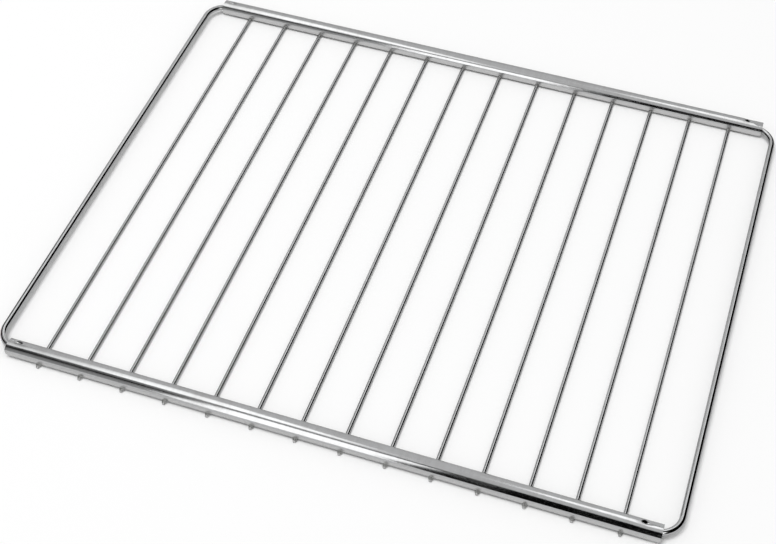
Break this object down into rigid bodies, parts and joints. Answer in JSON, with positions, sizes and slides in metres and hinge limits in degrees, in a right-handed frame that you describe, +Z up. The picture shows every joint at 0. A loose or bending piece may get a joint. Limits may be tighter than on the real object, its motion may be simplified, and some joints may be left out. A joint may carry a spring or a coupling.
{
  "type": "extending oven shelf rack",
  "caption": "Chrome-plated wire oven shelf: folded sheet rails front and rear carry straight cross wires, and bent wire arms slide out of the rails to set the width.",
  "frame": {"origin": "on the surface that the wires rest on, at the middle of the grid", "axes": "+X along the rails to the right arm, +Y from the front rail to the rear rail, +Z up"},
  "size_m": [0.3602, 0.3016, 0.0067],
  "materials": {
    "rail_plating": "bright plated sheet",
    "wire_plating": "bright plated wire",
    "arm_plating": "bright plated rod"
  },
  "bodies": {
    "grid": {"front_rail": "rail_plating", "rear_rail": "rail_plating", "cross_wire_01": "wire_plating", "cross_wire_02": "wire_plating", "cross_wire_03": "wire_plating", "cross_wire_04": "wire_plating", "cross_wire_05": "wire_plating", "cross_wire_06": "wire_plating", "cross_wire_07": "wire_plating", "cross_wire_08": "wire_plating", "cross_wire_09": "wire_plating", "cross_wire_10": "wire_plating", "cross_wire_11": "wire_plating", "cross_wire_12": "wire_plating", "cross_wire_13": "wire_plating", "cross_wire_14": "wire_plating"},
    "left_arm": {"left_arm": "arm_plating"},
    "right_arm": {"right_arm": "arm_plating"}
  },
  "joints": [
    {"name": "left_arm_slide", "type": "slide", "parent": "grid", "child": "left_arm", "axis": [-1, 0, 0], "range_m": [0, 0.115]},
    {"name": "right_arm_slide", "type": "slide", "parent": "grid", "child": "right_arm", "axis": [1, 0, 0], "range_m": [0, 0.115]}
  ]
}
